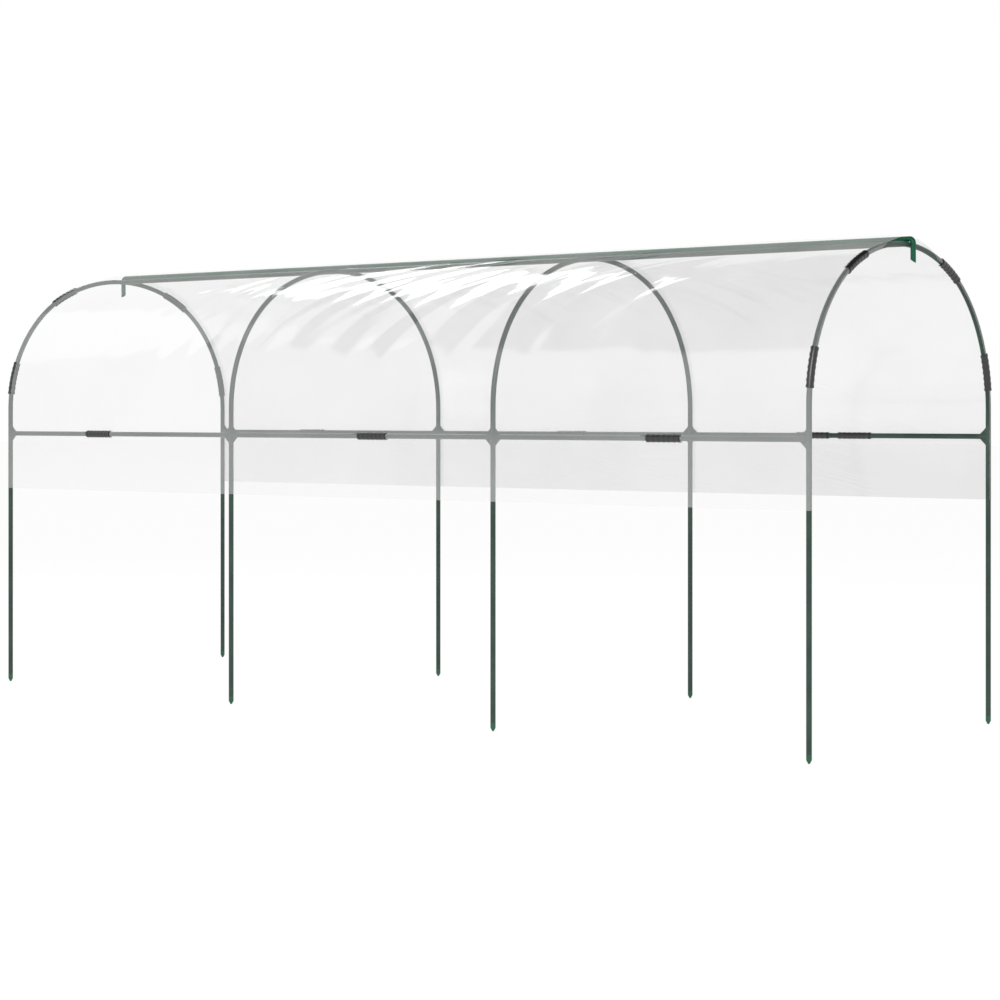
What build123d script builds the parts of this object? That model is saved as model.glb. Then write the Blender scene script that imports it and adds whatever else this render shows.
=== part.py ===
from build123d import *
import os
from math import acos, asin, cos, pi, radians, sin

# Tunnel: hoops stand along X, the front row of legs is on the -Y side, foot tips at Z = 0
hoop_count = 4
hoop_spacing = 1100.0
tunnel_width = 1072.0  # between the centrelines of the two rows of legs
rail_height = 887.0  # foot tips to the centreline of the side rails
upright_height = 87.0  # rail centreline to where an upright starts to bend into the arch
shoulder_radius = 460.0  # centreline radius of the tighter lower bend
crown_radius = 640.0  # centreline radius of the flatter top bend

# Steel tube, the same for legs, bows, rails and ridge
tube_radius = 8.0
tube_wall = 0.8

# Moulded joints that the tubes push onto
joint_arm = 36.0  # centre of the joint to the end of each tube
spigot_length = 24.0
spigot_clearance = 0.1
web_reach = 36.0
web_thickness = 6.0
web_edge_radius = 200.0  # hollow curve of a web's free edge

# Pointed foot caps
cap_collar = 15.0
cap_point = 10.0
cap_tip_radius = 2.5

# Film cover, thicker here than the real film
film_thickness = 1.0
film_gap = 0.3  # between pieces that rest on each other
film_skirt = 195.0  # rail centreline down to the hem
film_overhang = 8.0  # past the centreline of the end hoops, over the rod
film_wrap = 130.0  # degrees that the film's edges are tucked round the end hoops

# Bent rod under the film, on top of the hoops
rod_radius = 8.0
rod_bend_radius = 12.0
hook_drop = 78.0  # top of the rod to the lowest point of a hook
hook_cut = 12.0  # how much shorter the inner side of the slanted end is
rod_set_back = 25.0  # the rod lies this far behind the ridge line

# Snap clips over film and tube
clip_length = 115.0
clip_wall = 1.6
clip_lip = 0.6  # how far each jaw of a rail clip closes the open side
clip_rib = 0.8  # height of the ribs round a clip
clip_rib_width = 8.0
clip_rib_count = 7
low_clip_start = 54.0  # along the arch, from the spring line to a clip's lower end
high_clip_start = 455.0
front_rail_clips = [464.0, 619.0, 622.0]  # from a bay's left hoop to the middle of its clip
back_rail_clips = [477.0, 604.0, 630.0]
spare_clip_place = 476.0  # second clip in the last bay of the back rail

half_width = tunnel_width / 2
spring_height = rail_height + upright_height
film_bottom = rail_height - film_skirt
end_hoop = hoop_spacing * (hoop_count - 1) / 2
hoop_places = [hoop_spacing * i - end_hoop for i in range(hoop_count)]
tube_bore = tube_radius - tube_wall
spigot_radius = tube_bore - spigot_clearance
turn = asin((half_width - shoulder_radius) / (crown_radius - shoulder_radius))
crown_centre = spring_height - (crown_radius - shoulder_radius) * cos(turn)
crown_height = crown_centre + crown_radius
shoulder_length = shoulder_radius * (pi / 2 - turn)
film_inner = tube_radius + film_gap
film_outer = film_inner + film_thickness
clip_bore = film_outer + film_gap  # over tube and film
bare_clip_bore = tube_radius + film_gap  # over a tube alone
clip_outside = clip_bore + clip_wall + clip_rib
slit_near = (clip_bore**2 - film_outer**2) ** 0.5 - film_gap / 2
slit_far = (clip_outside**2 - film_inner**2) ** 0.5 + film_gap
rod_reach = crown_radius + tube_radius + film_gap + rod_radius
rod_lean = asin(rod_set_back / rod_reach)
rod_height = crown_centre + rod_reach * cos(rod_lean)
tent_half = acos((crown_radius + tube_radius - rod_radius) / rod_reach)
tent_start = rod_lean - tent_half
tent_end = rod_lean + tent_half


def arch_point(lean, offset=0.0):
    """Point (y, z) of the arch where its normal leans by this angle from upright."""
    side = 1 if lean >= 0 else -1
    lean = abs(lean)
    if lean <= turn:
        reach = crown_radius + offset
        return side * reach * sin(lean), crown_centre + reach * cos(lean)
    reach = shoulder_radius + offset
    return side * (half_width - shoulder_radius + reach * sin(lean)), spring_height + reach * cos(lean)


def arch_lean(length):
    """Lean of the normal at a length along the centreline from the front spring line."""
    if length <= shoulder_length:
        return -(pi / 2 - length / shoulder_radius)
    return -(turn - (length - shoulder_length) / crown_radius)


def arch_arc(start, end, offset=0.0):
    """One arc of the arch between two leans that lie on the same bend."""
    points = [arch_point(lean, offset) for lean in (start, (start + end) / 2, end)]
    return ThreePointArc(*[(0, y, z) for y, z in points])


def arch_path(start, end):
    """Wire along the front half of the arch centreline between two leans."""
    if start < -turn < end:
        return Wire([arch_arc(start, -turn).edge(), arch_arc(-turn, end).edge()])
    return Wire([arch_arc(start, end).edge()])


def section_plane(path):
    """Plane square to a path at its start, with its y axis towards the inside of the tunnel."""
    return Plane(origin=path @ 0, x_dir=(1, 0, 0), z_dir=path % 0)


def rod_along(path, radius):
    return sweep(section_plane(path) * Circle(radius), path=path)


def tube_along(path, radius=tube_radius):
    return rod_along(path, radius) - rod_along(path, radius - tube_wall)


def straight_tube(start, end):
    """Hollow tube between two points on a line along X or Z."""
    axis = Vector(*end) - Vector(*start)
    plane = Plane(origin=start, z_dir=axis)
    return extrude(plane * (Circle(tube_radius) - Circle(tube_bore)), amount=axis.length)


def to_back(shape):
    return mirror(shape, about=Plane.XZ)


def foot_cap(x, y):
    """Pointed cap that closes the lower end of a leg, with a plug inside the tube."""
    top = cap_point + cap_collar
    half_section = Polyline(
        (0, 0),
        (cap_tip_radius, 0),
        (tube_radius, cap_point),
        (tube_radius, top),
        (spigot_radius, top),
        (spigot_radius, top + spigot_length),
        (0, top + spigot_length),
        close=True,
    )
    return Pos(x, y, 0) * revolve(Plane.XZ * make_face(half_section), axis=Axis.Z)


def leg(x, y):
    return straight_tube((x, y, cap_point + cap_collar), (x, y, rail_height - joint_arm))


def web(along, up):
    """Gusset in the corner between two arms, its free edge a shallow hollow curve."""
    corner = (0, 0)
    low = (along * web_reach, 0)
    high = (0, up * web_reach)
    edge = RadiusArc(low, high, along * up * web_edge_radius)
    outline = Wire([Line(corner, low).edge(), edge.edge(), Line(high, corner).edge()])
    return extrude(make_face(outline), amount=web_thickness / 2, both=True)


def arm(direction):
    """Round arm as thick as the tube, with the thinner spigot that the tube pushes onto."""
    plane = Plane(origin=(0, 0, 0), z_dir=direction)
    body = extrude(plane * Circle(tube_radius), amount=joint_arm)
    spigot = extrude(plane * Circle(spigot_radius), amount=joint_arm + spigot_length)
    return body + spigot


def rail_sides(index):
    """Directions along X in which a hoop has neighbours."""
    sides = []
    if index > 0:
        sides.append(-1)
    if index < hoop_count - 1:
        sides.append(1)
    return sides


def rail_joint(index):
    """Upright joint with an arm and a pair of webs for each rail that meets the hoop."""
    joint = arm((0, 0, 1)) + arm((0, 0, -1))
    for side in rail_sides(index):
        joint += arm((side, 0, 0))
        for up in (-1, 1):
            joint += Rot(90, 0, 0) * web(side, up)
    return Pos(hoop_places[index], 0, rail_height) * joint


def crown_bar(reach, radius):
    """Round bar bent to the arch, as far to the front of the crown as to the back."""
    lean = reach / crown_radius
    return rod_along(Wire([arch_arc(-lean, lean).edge()]), radius)


def crown_joint(index):
    """Joint at the top of a hoop: two arms along the arch and one for each ridge tube."""
    joint = crown_bar(joint_arm, tube_radius) + crown_bar(joint_arm + spigot_length, spigot_radius)
    for side in rail_sides(index):
        joint += Pos(0, 0, crown_height) * arm((side, 0, 0))
        for across in (-1, 1):
            joint += Pos(0, 0, crown_height) * web(side, across)
    return Pos(hoop_places[index], 0, 0) * joint


def half_bow():
    """Front half of a hoop's top: a short upright, the shoulder bend and the crown bend."""
    upright = Line((0, -half_width, rail_height + joint_arm), (0, -half_width, spring_height))
    shoulder = arch_arc(-pi / 2, -turn)
    crown = arch_arc(-turn, -joint_arm / crown_radius)
    return tube_along(Wire([upright.edge(), shoulder.edge(), crown.edge()]))


def rail(index, y, z):
    start = hoop_places[index] + joint_arm
    end = hoop_places[index + 1] - joint_arm
    return straight_tube((start, y, z), (end, y, z))


def ridge_rod():
    """Long tube with both ends bent down past the end hoops, each cut at a slant."""
    hook_place = end_hoop + tube_radius + film_gap + rod_radius
    hook_end = rod_height + rod_radius - hook_drop
    corners = [
        (-hook_place, 0, hook_end),
        (-hook_place, 0, rod_height),
        (hook_place, 0, rod_height),
        (hook_place, 0, hook_end),
    ]
    path = FilletPolyline(*corners, radius=rod_bend_radius)
    start = Plane(origin=path @ 0, z_dir=path % 0)
    section = start * (Circle(rod_radius) - Circle(rod_radius - tube_wall))
    rod = sweep(section, path=path)
    for side in (-1, 1):
        inner = side * (hook_place - rod_radius)
        outer = side * (hook_place + rod_radius)
        slant = Polyline((inner, hook_end), (outer, hook_end), (inner, hook_end + hook_cut), close=True)
        rod -= extrude(Plane.XZ * make_face(slant), amount=2 * rod_radius, both=True)
    return Pos(0, rod_set_back, 0) * rod


def tent_point(lean, offset):
    """Point (y, z) of the film over the rod where its normal leans by this angle."""
    reach = rod_radius + offset - tube_radius
    return rod_set_back + reach * sin(lean), rod_height + reach * cos(lean)


def tent_edges(offset):
    """Straight slope up from the arch, round the top of the rod and straight down again."""
    start, top, end = [(0, *tent_point(lean, offset)) for lean in (tent_start, rod_lean, tent_end)]
    rise = Line((0, *arch_point(tent_start, offset)), start)
    fall = Line(end, (0, *arch_point(tent_end, offset)))
    return [rise, ThreePointArc(start, top, end), fall]


def film_outline(offset, bottom):
    """Closed face under the film, offset outwards from the centreline of the hoops."""
    side = half_width + offset
    edges = [
        Line((0, -side, bottom), (0, -side, spring_height)),
        arch_arc(-pi / 2, -turn, offset),
        arch_arc(-turn, tent_start, offset),
        *tent_edges(offset),
        arch_arc(tent_end, turn, offset),
        arch_arc(turn, pi / 2, offset),
        Line((0, side, spring_height), (0, side, bottom)),
        Line((0, side, bottom), (0, -side, bottom)),
    ]
    return make_face([edge.edge() for edge in edges])


def tent_band():
    """Section of the film between the places where it leaves the arch."""
    edges = tent_edges(film_inner) + tent_edges(film_outer)
    for lean in (tent_start, tent_end):
        foot = arch_point(lean, film_inner)
        head = arch_point(lean, film_outer)
        edges.append(Line((0, *foot), (0, *head)))
    return make_face([edge.edge() for edge in edges])


def tucked_edge(end_lean):
    """Edge of the film round the last hoop on the +X side, from the front hem up to a lean."""
    upright = Line((0, -half_width, film_bottom), (0, -half_width, spring_height))
    path = Wire([upright.edge(), arch_arc(-pi / 2, -turn).edge(), arch_arc(-turn, end_lean).edge()])
    angles = [radians(film_wrap * share) for share in (0, 0.5, 1)]
    inner = [(film_inner * sin(angle), -film_inner * cos(angle)) for angle in angles]
    outer = [(film_outer * sin(angle), -film_outer * cos(angle)) for angle in angles]
    edges = [
        ThreePointArc(*inner),
        Line(inner[2], outer[2]),
        ThreePointArc(*outer),
        Line(outer[0], inner[0]),
    ]
    section = section_plane(path) * make_face([edge.edge() for edge in edges])
    return Pos(end_hoop, 0, 0) * sweep(section, path=path)


def clip_section(bore, mouth, side):
    """C-shaped sections of a clip's wall and of its ribs, open towards the given side."""
    outer = bore + clip_wall
    across = 2 * outer if side[0] else 2 * mouth
    along = 2 * outer if side[1] else 2 * mouth
    opening = Pos(side[0] * outer, side[1] * outer) * Rectangle(across, along)
    wall = Circle(outer) - Circle(bore) - opening
    rib = Circle(outer + clip_rib) - Circle(outer - clip_rib) - opening
    return wall, rib


def arch_clip_path(start, length):
    return arch_path(arch_lean(start), arch_lean(start + length))


def rib_starts():
    """Places of the ribs along a clip, evenly spread from end to end."""
    step = (clip_length - clip_rib_width) / (clip_rib_count - 1)
    return [step * i for i in range(clip_rib_count)]


def arch_clip(start):
    """Clip bent to the arch, from a length above the front spring line, open towards -X."""
    wall, rib = clip_section(clip_bore, clip_bore, (-1, 0))
    path = arch_clip_path(start, clip_length)
    clip = sweep(section_plane(path) * wall, path=path)
    for place in rib_starts():
        band = arch_clip_path(start + place, clip_rib_width)
        clip += sweep(section_plane(band) * rib, path=band)
    return clip


def rail_line(start, length):
    return Line((start, -half_width, rail_height), (start + length, -half_width, rail_height))


def rail_plane(line):
    """Plane square to a front rail, with its y axis towards the inside of the tunnel."""
    return Plane(origin=line @ 0, x_dir=(0, 0, 1), z_dir=(-1, 0, 0))


def rail_clip(middle, bore):
    """Straight clip at the front rail, open towards the back."""
    start = middle - clip_length / 2
    wall, rib = clip_section(bore, bore - clip_lip, (0, 1))
    clip = extrude(rail_plane(rail_line(start, clip_length)) * wall, amount=-clip_length)
    for place in rib_starts():
        plane = rail_plane(rail_line(start + place, clip_rib_width))
        clip += extrude(plane * rib, amount=-clip_rib_width)
    return clip


def rail_slits(middle):
    """Room in the film for the jaws of a clip on the front rail."""
    slot = Box(clip_length + 2 * film_gap, 3 * film_thickness, slit_far - slit_near)
    across = -half_width - (film_inner + film_outer) / 2
    up = (slit_far + slit_near) / 2
    return Pos(middle, across, rail_height + up) * slot + Pos(middle, across, rail_height - up) * slot


def film_cover(clip_places):
    """One sheet over the rod and all the hoops, tucked round the end hoops and pinned in front."""
    below = film_bottom - film_thickness
    shell = film_outline(film_outer, film_bottom) - film_outline(film_inner, below)
    film = extrude(shell, amount=end_hoop, both=True)
    film += extrude(tent_band(), amount=end_hoop + film_overhang, both=True)
    for edge in (tucked_edge(tent_start), to_back(tucked_edge(-tent_end))):
        film += edge
        film += mirror(edge, about=Plane.YZ)
    for place in clip_places:
        film -= rail_slits(place)
    return film


def bay_places(offsets):
    """Places along X of clips given by their distance from each bay's left hoop."""
    return [hoop_places[i] + offset for i, offset in enumerate(offsets)]


def save(name, shape):
    """Write one node; pieces that don't touch stay separate solids in it."""
    shape.label = name
    export_step(shape, f"parts/{name}.step")


os.makedirs("parts", exist_ok=True)

bow = half_bow()
for i, x in enumerate(hoop_places):
    number = i + 1
    save(f"leg_front_{number}", leg(x, -half_width))
    save(f"leg_back_{number}", leg(x, half_width))
    joint = rail_joint(i)
    save(f"rail_joint_front_{number}", Pos(0, -half_width, 0) * joint)
    save(f"rail_joint_back_{number}", Pos(0, half_width, 0) * joint)
    save(f"bow_front_{number}", Pos(x, 0, 0) * bow)
    save(f"bow_back_{number}", Pos(x, 0, 0) * to_back(bow))
    save(f"crown_joint_{number}", crown_joint(i))

for i in range(hoop_count - 1):
    number = i + 1
    save(f"rail_front_{number}", rail(i, -half_width, rail_height))
    save(f"rail_back_{number}", rail(i, half_width, rail_height))
    save(f"ridge_tube_{number}", rail(i, 0, crown_height))

for row, y in (("front", -half_width), ("back", half_width)):
    save(f"foot_caps_{row}", Compound(children=[foot_cap(x, y) for x in hoop_places]))

save("ridge_rod", ridge_rod())

last_clips = [Pos(end_hoop, 0, 0) * arch_clip(start) for start in (low_clip_start, high_clip_start)]
last_clips += [to_back(clip) for clip in last_clips]
first_clips = [mirror(clip, about=Plane.YZ) for clip in last_clips]
save("clips_hoop_1", Compound(children=first_clips))
save(f"clips_hoop_{hoop_count}", Compound(children=last_clips))

front_places = bay_places(front_rail_clips)
back_places = bay_places(back_rail_clips) + [hoop_places[-2] + spare_clip_place]
front_clips = [rail_clip(place, clip_bore) for place in front_places]
back_clips = [Pos(0, tunnel_width, 0) * rail_clip(place, bare_clip_bore) for place in back_places]
save("clips_rail_front", Compound(children=front_clips))
save("clips_rail_back", Compound(children=back_clips))

save("film_cover", film_cover(front_places))
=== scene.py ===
import bpy
import math
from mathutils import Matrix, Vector, noise


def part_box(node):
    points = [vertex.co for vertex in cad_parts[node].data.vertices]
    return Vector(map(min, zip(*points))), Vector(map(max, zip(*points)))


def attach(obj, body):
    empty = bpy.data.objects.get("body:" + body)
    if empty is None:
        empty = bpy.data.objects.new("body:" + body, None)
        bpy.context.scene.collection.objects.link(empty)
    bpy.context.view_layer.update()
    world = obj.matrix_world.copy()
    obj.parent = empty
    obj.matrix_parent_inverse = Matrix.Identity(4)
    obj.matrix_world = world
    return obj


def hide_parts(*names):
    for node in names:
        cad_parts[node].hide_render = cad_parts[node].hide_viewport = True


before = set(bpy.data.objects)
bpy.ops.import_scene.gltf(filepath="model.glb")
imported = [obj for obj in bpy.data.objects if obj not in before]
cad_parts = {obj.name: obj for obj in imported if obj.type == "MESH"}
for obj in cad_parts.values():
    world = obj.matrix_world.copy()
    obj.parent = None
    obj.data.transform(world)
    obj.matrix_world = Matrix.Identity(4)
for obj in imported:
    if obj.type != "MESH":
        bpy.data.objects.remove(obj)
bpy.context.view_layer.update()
scene = bpy.context.scene
print("frame loaded,", len(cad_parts), "nodes")

# camera: level, so that every leg stays upright in the picture
camera = {
    "place": (5.0325, -6.2185, 0.9562),  # metres
    "turn": 38.1,  # degrees to the left of looking along +Y
    "lens": 86.4,
    "sensor": 36.0,
    "shiftY": -0.086,
}


def makeCamera():
    data = bpy.data.cameras.new("viewCamera")
    data.lens = camera["lens"]
    data.sensor_width = camera["sensor"]
    data.shift_y = camera["shiftY"]
    data.clip_end = 200.0
    cam = bpy.data.objects.new("viewCamera", data)
    cam.location = camera["place"]
    cam.rotation_euler = (math.radians(90.0), 0.0, math.radians(camera["turn"]))
    scene.collection.objects.link(cam)
    scene.camera = cam


makeCamera()

# sizes read back from the frame, so the film and the clips follow the CAD model
tube = 0.008  # radius of every tube
hoopPlaces = [sum(c[0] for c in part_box(f"leg_front_{i}")) / 2 for i in range(1, 5)]
halfWidth = sum(c[1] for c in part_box("leg_back_1")) / 2
railHeight = sum(c[2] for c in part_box("rail_front_1")) / 2
crownHeight = sum(c[2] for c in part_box("ridge_tube_1")) / 2
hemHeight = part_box("film_cover")[0][2]

# section of the film from the front hem over the rod to the back hem
section = {
    "offset": 0.0088,  # the film's middle, out from the tubes' centrelines
    "shoulder": 0.460,  # the arch has a tighter bend at each side
    "crown": 0.640,  # and a flatter one across the top
    "upright": 0.087,
}
springHeight = railHeight + section["upright"]
shoulderPlace = halfWidth - section["shoulder"]
turnLean = math.asin(shoulderPlace / (section["crown"] - section["shoulder"]))
crownCentre = crownHeight - section["crown"]
rodPlace = sum(c[1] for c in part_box("ridge_rod")) / 2
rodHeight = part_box("ridge_rod")[1][2] - tube
rodLean = math.atan2(rodPlace, rodHeight - crownCentre)
tentHalf = math.acos(section["crown"] / math.hypot(rodPlace, rodHeight - crownCentre))
pieces = []  # length, place, normal lean, radius (0 for straight)


def addArc(centre, radius, start, end):
    reach = radius + section["offset"]
    pieces.append((reach * (end - start), centre, start, reach))


def addStraight(start, end, lean):
    pieces.append((math.dist(start, end), (start, end), lean, 0.0))


def edgePoint(centre, radius, lean):
    reach = radius + section["offset"]
    return (centre[0] + reach * math.sin(lean), centre[1] + reach * math.cos(lean))


tentLeans = (rodLean - tentHalf, rodLean + tentHalf)
outerSide = halfWidth + section["offset"]
crownPlace = (0.0, crownCentre)
rodCentre = (rodPlace, rodHeight)
addStraight((-outerSide, hemHeight), (-outerSide, springHeight), -math.pi / 2)
addArc((-shoulderPlace, springHeight), section["shoulder"], -math.pi / 2, -turnLean)
addArc(crownPlace, section["crown"], -turnLean, tentLeans[0])
rise = (edgePoint(crownPlace, section["crown"], tentLeans[0]), edgePoint(rodCentre, tube, tentLeans[0]))
addStraight(*rise, tentLeans[0])
addArc(rodCentre, tube, *tentLeans)
fall = (edgePoint(rodCentre, tube, tentLeans[1]), edgePoint(crownPlace, section["crown"], tentLeans[1]))
addStraight(*fall, tentLeans[1])
addArc(crownPlace, section["crown"], tentLeans[1], turnLean)
addArc((shoulderPlace, springHeight), section["shoulder"], turnLean, math.pi / 2)
addStraight((outerSide, springHeight), (outerSide, hemHeight), math.pi / 2)
sheetLength = sum(piece[0] for piece in pieces)
rodAlong = sum(piece[0] for piece in pieces[:4]) + pieces[4][0] / 2
tentAlong = (sum(piece[0] for piece in pieces[:3]), sum(piece[0] for piece in pieces[:6]))
railAlong = railHeight - hemHeight
crownAlong = sheetLength / 2


def sheetPoint(along):
    # point and outward normal (y, z) of the section, by the length from the front hem
    for length, centre, start, reach in pieces:
        if along <= length or centre is pieces[-1][1]:
            break
        along -= length
    if reach:
        lean = start + along / reach
        return (centre[0] + reach * math.sin(lean), centre[1] + reach * math.cos(lean), lean)
    low, high = centre
    share = along / length
    return (low[0] + (high[0] - low[0]) * share, low[1] + (high[1] - low[1]) * share, start)


# shared shader groups: only masks, colours and normals come out of them
def socketIn(tree, name, kind, value=None):
    item = tree.interface.new_socket(name=name, in_out="INPUT", socket_type=kind)
    if value is not None:
        item.default_value = value
    return item


def socketOut(tree, name, kind):
    return tree.interface.new_socket(name=name, in_out="OUTPUT", socket_type=kind)


def node(tree, kind, **values):
    made = tree.nodes.new(kind)
    for key, value in values.items():
        setattr(made, key, value)
    return made


def makeBlotchGroup():
    # soft cloudy patches between 0 and 1, stretched as much as asked
    tree = bpy.data.node_groups.new("softBlotches", "ShaderNodeTree")
    socketIn(tree, "Vector", "NodeSocketVector")
    socketIn(tree, "Scale", "NodeSocketFloat", 4.0)
    socketIn(tree, "Low", "NodeSocketFloat", 0.35)
    socketIn(tree, "High", "NodeSocketFloat", 0.65)
    socketOut(tree, "Mask", "NodeSocketFloat")
    enter = node(tree, "NodeGroupInput")
    leave = node(tree, "NodeGroupOutput")
    cloud = node(tree, "ShaderNodeTexNoise")
    cloud.inputs["Detail"].default_value = 3.0
    ramp = node(tree, "ShaderNodeMapRange", interpolation_type="SMOOTHSTEP")
    tree.links.new(enter.outputs["Vector"], cloud.inputs["Vector"])
    tree.links.new(enter.outputs["Scale"], cloud.inputs["Scale"])
    tree.links.new(cloud.outputs["Fac"], ramp.inputs["Value"])
    tree.links.new(enter.outputs["Low"], ramp.inputs["From Min"])
    tree.links.new(enter.outputs["High"], ramp.inputs["From Max"])
    tree.links.new(ramp.outputs["Result"], leave.inputs["Mask"])
    return tree


blotchGroup = makeBlotchGroup()


def newMaterial(name):
    material = bpy.data.materials.new(name)
    material.use_nodes = True
    tree = material.node_tree
    shader = tree.nodes["Principled BSDF"]
    return material, tree, shader


def addGroup(tree, group, **values):
    made = node(tree, "ShaderNodeGroup", node_tree=group)
    for key, value in values.items():
        made.inputs[key].default_value = value
    return made


def mixColours(tree, mask, low, high):
    mix = node(tree, "ShaderNodeMix", data_type="RGBA")
    mix.inputs["A"].default_value = (*low, 1.0)
    mix.inputs["B"].default_value = (*high, 1.0)
    tree.links.new(mask, mix.inputs["Factor"])
    return mix.outputs["Result"]


def mapValue(tree, value, low, high):
    ramp = node(tree, "ShaderNodeMapRange")
    ramp.inputs["To Min"].default_value = low
    ramp.inputs["To Max"].default_value = high
    tree.links.new(value, ramp.inputs["Value"])
    return ramp.outputs["Result"]


def combine(tree, operation, first, second=0.0):
    made = node(tree, "ShaderNodeMath", operation=operation)
    for index, value in enumerate((first, second)):
        if isinstance(value, (int, float)):
            made.inputs[index].default_value = value
        else:
            tree.links.new(value, made.inputs[index])
    return made.outputs[0]


def distanceFrom(tree, value, place):
    return combine(tree, "ABSOLUTE", combine(tree, "SUBTRACT", value, place))


def blend(tree, mask, low, high):
    made = node(tree, "ShaderNodeMix", data_type="FLOAT")
    tree.links.new(mask, made.inputs["Factor"])
    tree.links.new(low, made.inputs["A"])
    tree.links.new(high, made.inputs["B"])
    return made.outputs["Result"]


def softStep(tree, value, low, high, bottom=0.0, top=1.0):
    ramp = node(tree, "ShaderNodeMapRange", interpolation_type="SMOOTHSTEP")
    ramp.inputs["From Min"].default_value = low
    ramp.inputs["From Max"].default_value = high
    ramp.inputs["To Min"].default_value = bottom
    ramp.inputs["To Max"].default_value = top
    tree.links.new(value, ramp.inputs["Value"])
    return ramp.outputs["Result"]


def addBump(tree, shader, height, strength, distance):
    bump = node(tree, "ShaderNodeBump")
    bump.inputs["Strength"].default_value = strength
    bump.inputs["Distance"].default_value = distance
    tree.links.new(height, bump.inputs["Height"])
    tree.links.new(bump.outputs["Normal"], shader.inputs["Normal"])


coating = {
    "blotches": 9.0,  # cloudy patches of the two shades, per metre
    "uneven": (-0.05, 0.07),  # how far the roughness strays
    "peel": 0.0004,  # depth of the coating's fine ripple, metres
    "peelScale": 420.0,
    "peelStrength": 0.25,
}

# the two shades, roughness and gloss of each painted or moulded surface
finishes = {
    "greenCoatedTube": ((0.024, 0.052, 0.038), (0.040, 0.078, 0.058), 0.34, 0.35),
    "brightCoatedRod": ((0.001, 0.080, 0.036), (0.003, 0.108, 0.052), 0.36, 0.25),
    "mouldedJoint": ((0.034, 0.064, 0.050), (0.055, 0.094, 0.075), 0.45, 0.35),
    "mouldedCap": ((0.018, 0.095, 0.048), (0.034, 0.140, 0.074), 0.38, 0.35),
    "blackClip": ((0.006, 0.006, 0.0065), (0.013, 0.013, 0.014), 0.34, 0.8),
}

# which finish the pieces have whose names start like this
pieceFinish = {
    "leg": "greenCoatedTube",
    "bow": "greenCoatedTube",
    "rail_front": "greenCoatedTube",
    "rail_back": "greenCoatedTube",
    "ridge_tube": "greenCoatedTube",
    "ridge_rod": "brightCoatedRod",
    "rail_joint": "mouldedJoint",
    "crown_joint": "mouldedJoint",
    "foot_caps": "mouldedCap",
    "clips": "blackClip",
}


def makeFinish(name, dark, light, roughness, gloss):
    material, tree, shader = newMaterial(name)
    spot = node(tree, "ShaderNodeTexCoord").outputs["Object"]
    blotch = addGroup(tree, blotchGroup, Scale=coating["blotches"], Low=0.3, High=0.7)
    tree.links.new(spot, blotch.inputs["Vector"])
    mask = blotch.outputs["Mask"]
    low, high = coating["uneven"]
    rough = mapValue(tree, mask, roughness + low, roughness + high)
    tree.links.new(mixColours(tree, mask, dark, light), shader.inputs["Base Color"])
    tree.links.new(rough, shader.inputs["Roughness"])
    peel = node(tree, "ShaderNodeTexNoise")
    peel.inputs["Scale"].default_value = coating["peelScale"]
    tree.links.new(spot, peel.inputs["Vector"])
    addBump(tree, shader, peel.outputs["Fac"], coating["peelStrength"], coating["peel"])
    shader.inputs["Specular IOR Level"].default_value = gloss
    return material


finishMaterials = {name: makeFinish(name, *look) for name, look in finishes.items()}

# the folds run up to the right and lie flatter the higher they are
fold = {
    "start": 0.45,  # metres up from the hem
    "lean": 0.5,
    "bend": 1.3,
}

filmLook = {
    "haze": (0.24, 0.29),  # share of the background that one layer takes away
    "skirtHaze": 0.05,  # added below the rails
    "front": (0.86, 0.70),  # painted shade: grey at the hem and above the rail
    # painted shade of the back of the sheet, at its hem and higher up
    "back": (0.10, 0.50),
    "backLeft": (0.45, 0.62),
    "backReach": 0.32,  # how far up from the back hem its painted shade goes
    "left": (-1.1, -0.2),  # where the left bay's lighter painted shade gives way along the tunnel
    "tight": (0.020, 0.030),  # clear up to here from the rod
    "rodEnd": (1.625, 1.645),  # past here it is clear a little wider
    "rodEndExtra": 0.022,
    "smoothPlace": (0.43, 0.33),  # middle of the smooth patch between the two middle hoops
    "smoothShare": 0.38,  # share of the haze that is missing there
    # painted light: how far the film's grey is raised towards white in the smooth patch
    "smoothPaintedLight": 2.6,
    "roughness": 0.10,
    "ior": 4.0,  # stands for both faces of the film, whose gloss alpha would weaken
    "creaseDepth": 0.0010,
    "creaseHeight": (0.42, 0.60),  # creases set in between these, up from the hem
    "creaseRight": (0.9, 1.35),  # and fade along the tunnel between these
    "creaseLeft": (-1.1, -0.6),
    "creaseLeast": 0.12,
    "creaseAcross": 26.0,
    "creaseAlong": 5.0,
}


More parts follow.
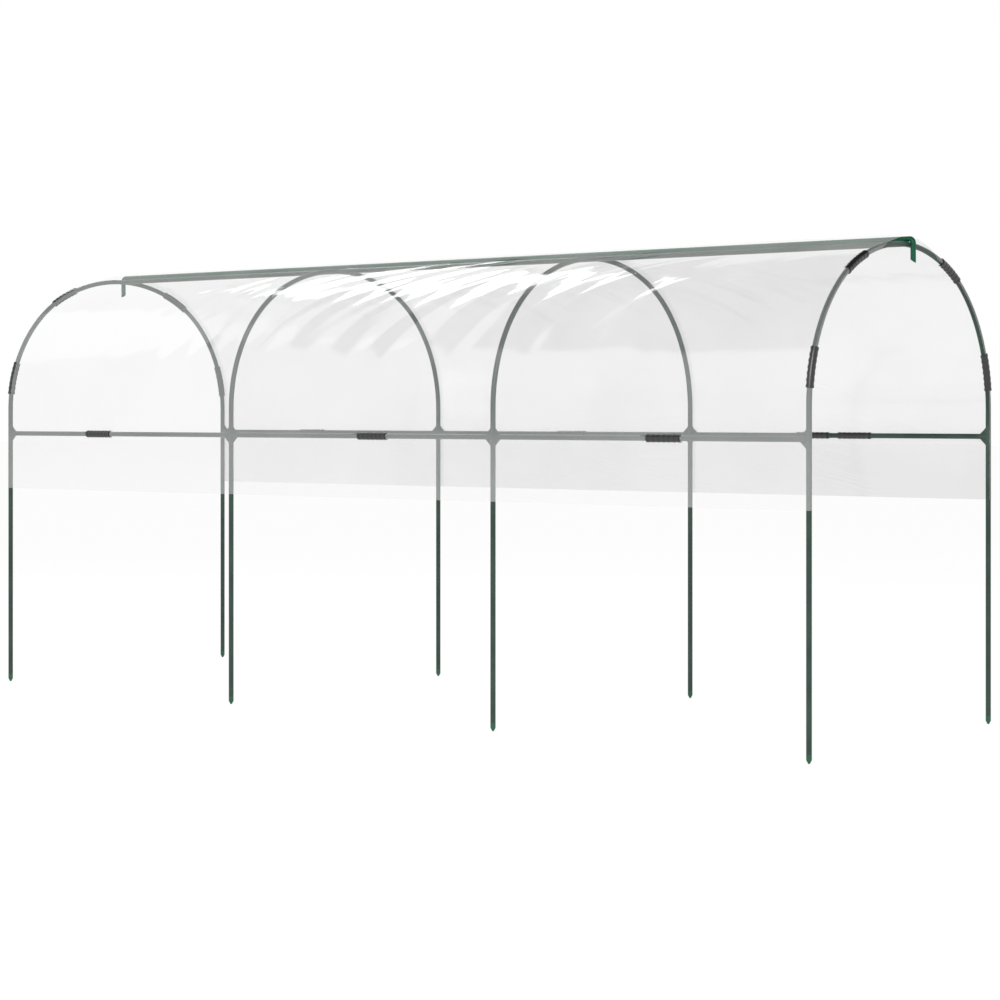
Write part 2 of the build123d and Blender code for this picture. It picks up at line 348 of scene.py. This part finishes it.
def makeCreaseGroup():
    # long thin creases along the folds
    tree = bpy.data.node_groups.new("dragCreases", "ShaderNodeTree")
    socketIn(tree, "Chart", "NodeSocketVector")
    socketIn(tree, "Across", "NodeSocketFloat", filmLook["creaseAcross"])
    socketIn(tree, "Along", "NodeSocketFloat", filmLook["creaseAlong"])
    socketOut(tree, "Height", "NodeSocketFloat")
    enter = node(tree, "NodeGroupInput")
    leave = node(tree, "NodeGroupOutput")
    split = node(tree, "ShaderNodeSeparateXYZ")
    tree.links.new(enter.outputs["Chart"], split.inputs[0])
    climb = combine(tree, "SUBTRACT", split.outputs["Y"], fold["start"])
    turned = combine(tree, "ADD", combine(tree, "MULTIPLY", climb, fold["bend"]), fold["lean"])
    phase = combine(tree, "SUBTRACT", split.outputs["X"], combine(tree, "MULTIPLY", turned, climb))
    join = node(tree, "ShaderNodeCombineXYZ")
    wide = combine(tree, "MULTIPLY", phase, enter.outputs["Across"])
    long = combine(tree, "MULTIPLY", split.outputs["Y"], enter.outputs["Along"])
    tree.links.new(wide, join.inputs["X"])
    tree.links.new(long, join.inputs["Y"])
    cloud = node(tree, "ShaderNodeTexNoise")
    cloud.inputs["Scale"].default_value = 1.0
    cloud.inputs["Detail"].default_value = 2.0
    tree.links.new(join.outputs[0], cloud.inputs["Vector"])
    tree.links.new(cloud.outputs["Fac"], leave.inputs["Height"])
    return tree


creaseGroup = makeCreaseGroup()


def filmHaze(tree, across, along, mask):
    # how much one layer hides: denser below the rails, clear where it lies tight on the rod
    haze = mapValue(tree, mask, *filmLook["haze"])
    skirt = filmLook["skirtHaze"]
    backRail = sheetLength - railAlong
    lowFront = softStep(tree, along, railAlong - 0.02, railAlong + 0.04, skirt, 0.0)
    lowBack = softStep(tree, along, backRail - 0.04, backRail + 0.02, 0.0, skirt)
    haze = combine(tree, "ADD", haze, combine(tree, "ADD", lowFront, lowBack))
    fromMiddle = combine(tree, "ABSOLUTE", across)
    atEnd = softStep(tree, fromMiddle, *filmLook["rodEnd"], 0.0, filmLook["rodEndExtra"])
    fromRod = combine(tree, "SUBTRACT", distanceFrom(tree, along, rodAlong), atEnd)
    return combine(tree, "MULTIPLY", haze, softStep(tree, fromRod, *filmLook["tight"]))


def smoothAndLitPatch(tree, across, along):
    # where the sheet is pulled smooth between the two middle hoops, so the haze is thinner; the same
    # mask raises the film's grey towards white there, a painted brightening
    middle, height = filmLook["smoothPlace"]
    offX = softStep(tree, distanceFrom(tree, across, middle), 0.05, 0.24, filmLook["smoothShare"], 0.0)
    offY = softStep(tree, distanceFrom(tree, along, height), 0.04, 0.16, 1.0, 0.0)
    return combine(tree, "MULTIPLY", offX, offY)


def paintedFilmShade(tree, across, along):
    # painted shade: the sheet's grey changes from the front hem over the rod to the back hem, lighter
    # on the front skirt and at the left bay, and the back half darker, darkest at its hem
    backStart = sheetLength - filmLook["backReach"]
    front = softStep(tree, along, 0.0, railAlong + 0.05, *filmLook["front"])
    right = softStep(tree, along, backStart, sheetLength, *reversed(filmLook["back"]))
    left = softStep(tree, along, backStart, sheetLength, *reversed(filmLook["backLeft"]))
    back = blend(tree, softStep(tree, across, *filmLook["left"], 1.0, 0.0), right, left)
    return blend(tree, softStep(tree, along, rodAlong - 0.05, rodAlong + 0.10), front, back)


def creaseHeight(tree, chart, across, along):
    crease = addGroup(tree, creaseGroup)
    tree.links.new(chart, crease.inputs["Chart"])
    least = filmLook["creaseLeast"]
    high = softStep(tree, along, *filmLook["creaseHeight"])
    toRight = softStep(tree, across, *filmLook["creaseRight"], 1.0, least)
    toLeft = softStep(tree, across, *filmLook["creaseLeft"], least, 1.0)
    strength = combine(tree, "MULTIPLY", high, combine(tree, "MULTIPLY", toRight, toLeft))
    return combine(tree, "MULTIPLY", crease.outputs["Height"], strength)


def makeFilmMaterial():
    material, tree, shader = newMaterial("clearFilm")
    chart = node(tree, "ShaderNodeUVMap", uv_map="filmChart").outputs["UV"]
    split = node(tree, "ShaderNodeSeparateXYZ")
    tree.links.new(chart, split.inputs[0])
    across = split.outputs["X"]
    along = split.outputs["Y"]
    blotch = addGroup(tree, blotchGroup, Scale=3.0, Low=0.35, High=0.68)
    tree.links.new(chart, blotch.inputs["Vector"])
    clearAndLitPatch = smoothAndLitPatch(tree, across, along)
    haze = filmHaze(tree, across, along, blotch.outputs["Mask"])
    haze = combine(tree, "MULTIPLY", haze, combine(tree, "SUBTRACT", 1.0, clearAndLitPatch))
    tree.links.new(haze, shader.inputs["Alpha"])
    # painted shade: the film's grey is set by place along the section
    shade = paintedFilmShade(tree, across, along)
    # painted light: the grey is raised towards white in the smooth patch
    shade = combine(tree, "MAXIMUM", shade, combine(tree, "MULTIPLY", clearAndLitPatch, filmLook["smoothPaintedLight"]))
    grey = node(tree, "ShaderNodeCombineColor")
    for channel in ("Red", "Green", "Blue"):
        tree.links.new(shade, grey.inputs[channel])
    tree.links.new(grey.outputs[0], shader.inputs["Base Color"])
    shader.inputs["Roughness"].default_value = filmLook["roughness"]
    shader.inputs["IOR"].default_value = filmLook["ior"]
    addBump(tree, shader, creaseHeight(tree, chart, across, along), 1.0, filmLook["creaseDepth"])
    return material


filmMaterial = makeFilmMaterial()

for name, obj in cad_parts.items():
    for start, finish in pieceFinish.items():
        if name.startswith(start):
            for slotItem in obj.material_slots:
                slotItem.material = finishMaterials[finish]
print("materials set")

film = {
    "step": 0.0105,
    "sag": 0.006,  # how far the film hollows between two hoops
    "ruck": 0.0060,  # depth of the folds that are dragged up to the right
    "ruckScale": (10.0, 2.6),  # folds per metre across and along them
    "ruckGain": 1.6,
    "ruckLeft": (-1.25, -0.55),  # along the tunnel, the folds set in
    "ruckRight": (0.85, 1.25),  # and die away
    "ruckLeast": 0.10,
    "ruckFade": 0.93,
    "swell": 0.0022,  # soft unevenness all over
    "hang": 0.003,  # waves in the skirt, which hangs free
    "wrap": 130.0,  # degrees that it is tucked round the end hoops
    "wrapSteps": 8,
    "clipHalf": 0.0575,
    "clipReach": 0.05,  # how far from the rail a clip draws the film in
}


def smooth(value, low, high):
    t = min(1.0, max(0.0, (value - low) / (high - low)))
    return t * t * (3.0 - 2.0 * t)


def dragFolds(x, along, climb, side):
    # folds dragged up to the right, deepest in the middle of the tunnel and near the ridge
    s = climb - fold["start"]
    drag = x * side - fold["lean"] * s - fold["bend"] * s * abs(s)
    place = smooth(x, *film["ruckLeft"]) * (1.0 - film["ruckFade"] * smooth(x, *film["ruckRight"]))
    high = smooth(climb, 0.40, 0.52) * smooth(abs(along - rodAlong), 0.03, 0.16)
    across, up = film["ruckScale"]
    wave = noise.noise(Vector((drag * across, climb * up, 1.7 + side)))
    least = film["ruckLeast"]
    return film["ruck"] * high * (least + (1.0 - least) * place) * wave * film["ruckGain"]


def filmRelief(x, along):
    # height of the film over its resting surface, at a place along the tunnel and up from the hem
    gap = min(abs(x - place) for place in hoopPlaces)
    climb = min(along, sheetLength - along)
    halfBay = (hoopPlaces[1] - hoopPlaces[0]) / 2
    top = smooth(abs(along - rodAlong), 0.02, 0.25)
    hollow = -film["sag"] * smooth(gap, 0.0, halfBay) * smooth(climb, 0.40, 0.70) * top
    ruck = dragFolds(x, along, climb, 1.0 if along < crownAlong else -1.0)
    ruck += film["swell"] * noise.noise(Vector((x * 3.0, along * 3.6, 9.3)))
    free = 1.0 - smooth(climb, 0.0, railAlong)
    ruck += film["hang"] * free * noise.noise(Vector((x * 4.0, along * 2.0, 21.0)))
    ruck *= smooth(gap, 0.012, 0.14)
    rail = 1.0 - smooth(abs(climb - railAlong), 0.010, 0.040)
    ruck = ruck * (1.0 - rail) + max(0.0, ruck) * 0.4 * rail
    return hollow + ruck


def clipMiddles():
    # places along X of the clips on the front rail, read from the clips' own points
    points = sorted(vertex.co.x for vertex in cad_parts["clips_rail_front"].data.vertices)
    middles = []
    start = points[0]
    for low, high in zip(points, points[1:]):
        if high - low > 0.2:
            middles.append((start + low) / 2)
            start = high
    middles.append((start + points[-1]) / 2)
    return middles


def clipPinch(x, along, clipPlaces):
    # how far a rail clip draws the film in round the tube
    away = min(abs(x - place) for place in clipPlaces) - film["clipHalf"]
    hold = 1.0 - smooth(away, -0.004, 0.030)
    rise = abs(along - railAlong)
    if hold == 0.0 or rise > film["clipReach"]:
        return 0.0
    reach = section["offset"]
    if rise < reach:
        pinned = reach - math.sqrt(max(0.0, reach * reach - rise * rise))
    else:
        pinned = reach * (1.0 - smooth(rise, reach, film["clipReach"]))
    return -pinned * hold


def spread(start, end, step):
    count = max(1, round((end - start) / step))
    return [start + (end - start) * i / count for i in range(count)]


def filmRows():
    # places up the section, closer together at the rail and the rod
    step = film["step"]
    marks = [0.0, railAlong - 0.030, railAlong - 0.010, railAlong + 0.010, railAlong + 0.030]
    marks += [rodAlong - 0.02, rodAlong + 0.02, sheetLength]
    steps = [step, 0.005, 0.002, 0.005, step, 0.004, step]
    rows = []
    for low, high, fine in zip(marks, marks[1:], steps):
        rows += spread(low, high, fine)
    return rows + [sheetLength]


def filmColumns():
    # places along the tunnel, each with its turn round an end hoop
    ends = (hoopPlaces[0], hoopPlaces[-1])
    wrap = math.radians(film["wrap"])
    turns = [wrap * i / film["wrapSteps"] for i in range(1, film["wrapSteps"] + 1)]
    columns = [(ends[0], -turn) for turn in reversed(turns)]
    columns += [(x, 0.0) for x in spread(*ends, film["step"]) + [ends[1]]]
    return columns + [(ends[1], turn) for turn in turns]


def filmPoint(x, turn, along, clipPlaces):
    # on the tunnel it is draped; past an end hoop it is tucked round, but straight over the rod
    y, z, lean = sheetPoint(along)
    if turn == 0.0:
        lift = filmRelief(x, along) + clipPinch(x, along, clipPlaces)
    else:
        reach = section["offset"]
        tucked = 1.0 - smooth(along, tentAlong[0] - 0.03, tentAlong[0] + 0.02)
        tucked += smooth(along, tentAlong[1] - 0.02, tentAlong[1] + 0.03)
        straight = (1.0 - tucked) * tube * turn / math.radians(film["wrap"])
        x += tucked * reach * math.sin(turn) + straight
        lift = -tucked * reach * (1.0 - math.cos(turn))
    return (x, y + lift * math.sin(lean), z + lift * math.cos(lean))


def makeFilm():
    rows = filmRows()
    columns = filmColumns()
    clipPlaces = clipMiddles()
    verts = [filmPoint(x, turn, along, clipPlaces) for x, turn in columns for along in rows]
    charts = [(x + section["offset"] * turn, along) for x, turn in columns for along in rows]
    count = len(rows)
    faces = []
    for i in range(len(columns) - 1):
        for j in range(count - 1):
            a = i * count + j
            faces.append((a, a + count, a + count + 1, a + 1))
    mesh = bpy.data.meshes.new("filmSheet")
    mesh.from_pydata(verts, [], faces)
    chart = mesh.uv_layers.new(name="filmChart")
    for loop in mesh.loops:
        chart.data[loop.index].uv = charts[loop.vertex_index]
    mesh.polygons.foreach_set("use_smooth", [True] * len(mesh.polygons))
    mesh.materials.append(filmMaterial)
    sheet = bpy.data.objects.new("filmSheet", mesh)
    scene.collection.objects.link(sheet)
    return sheet


filmSheet = makeFilm()
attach(filmSheet, "root")
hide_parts("film_cover")
print("film draped,", len(filmSheet.data.polygons), "faces")


floorLook = {
    "size": 60.0,
    "colour": 0.85,
    "glow": 1.09,
    "glowShare": 0.8,  # the rest is matt, and keeps the shadows
}

room = {
    "edge": (0.54, 0.60),  # sine of the height where the mirrored room turns darker
    "side": (-0.68, -0.60),  # and how far round to the left it does
    "above": (0.06, 0.06, 0.06),
    "light": (0.62, 1.0),  # strength on the object, and behind it or mirrored in it
}

# place, target, width and height, and power
softboxes = {
    "glareBox": ((-3.6, 1.9, 5.5), (0.2, -0.3, 1.35), (1.9, 1.8), 95.0),
    "sideBox": ((-4.6, -1.2, 3.6), (-1.3, -0.4, 1.3), (2.4, 2.4), 9.0),
    "frontBox": ((3.5, -6.0, 4.0), (0.0, 0.0, 0.8), (3.0, 2.0), 180.0),
}


def seenDirectly(tree, rays):
    # 1 where it is looked at, mirrored or seen through something
    either = combine(tree, "MAXIMUM", rays.outputs["Is Camera Ray"], rays.outputs["Is Glossy Ray"])
    return combine(tree, "MAXIMUM", either, rays.outputs["Is Transmission Ray"])


def makeFloor():
    size = floorLook["size"]
    corners = [(-size, -size, 0), (size, -size, 0), (size, size, 0), (-size, size, 0)]
    mesh = bpy.data.meshes.new("studioFloor")
    mesh.from_pydata(corners, [], [(0, 1, 2, 3)])
    floor = bpy.data.objects.new("studioFloor", mesh)
    scene.collection.objects.link(floor)
    material = bpy.data.materials.new("paleFloor")
    material.use_nodes = True
    tree = material.node_tree
    tree.nodes.clear()
    out = node(tree, "ShaderNodeOutputMaterial")
    matt = node(tree, "ShaderNodeBsdfDiffuse")
    matt.inputs["Color"].default_value = (*[floorLook["colour"]] * 3, 1.0)
    glow = node(tree, "ShaderNodeEmission")
    glow.inputs["Strength"].default_value = floorLook["glow"]
    seen = seenDirectly(tree, node(tree, "ShaderNodeLightPath"))
    mix = node(tree, "ShaderNodeMixShader")
    tree.links.new(combine(tree, "MULTIPLY", seen, floorLook["glowShare"]), mix.inputs[0])
    tree.links.new(matt.outputs[0], mix.inputs[1])
    tree.links.new(glow.outputs[0], mix.inputs[2])
    tree.links.new(mix.outputs[0], out.inputs[0])
    mesh.materials.append(material)


def makeWorld():
    world = bpy.data.worlds.new("studioWorld")
    scene.world = world
    world.use_nodes = True
    tree = world.node_tree
    tree.nodes.clear()
    out = node(tree, "ShaderNodeOutputWorld")
    rays = node(tree, "ShaderNodeLightPath")
    shine = node(tree, "ShaderNodeBackground")
    # mirrored in the film and the tubes, the upper part of the room is darker
    split = node(tree, "ShaderNodeSeparateXYZ")
    place = node(tree, "ShaderNodeTexCoord")
    tree.links.new(place.outputs["Generated"], split.inputs[0])
    above = softStep(tree, split.outputs["Z"], *room["edge"])
    beside = softStep(tree, split.outputs["X"], *room["side"])
    dark = combine(tree, "MULTIPLY", above, beside)
    dim = combine(tree, "MULTIPLY", dark, rays.outputs["Is Glossy Ray"])
    tree.links.new(mixColours(tree, dim, (1.0, 1.0, 1.0), room["above"]), shine.inputs["Color"])
    tree.links.new(mapValue(tree, seenDirectly(tree, rays), *room["light"]), shine.inputs["Strength"])
    tree.links.new(shine.outputs[0], out.inputs[0])


def addSoftbox(name, place, target, size, power):
    data = bpy.data.lights.new(name, "AREA")
    data.shape = "RECTANGLE"
    data.size, data.size_y = size
    data.energy = power
    lamp = bpy.data.objects.new(name, data)
    lamp.location = place
    lamp.rotation_euler = (Vector(target) - Vector(place)).to_track_quat("-Z", "Y").to_euler()
    scene.collection.objects.link(lamp)


makeFloor()
makeWorld()
for name, values in softboxes.items():
    addSoftbox(name, *values)
scene.view_settings.view_transform = "Standard"
print("stage and lights ready")
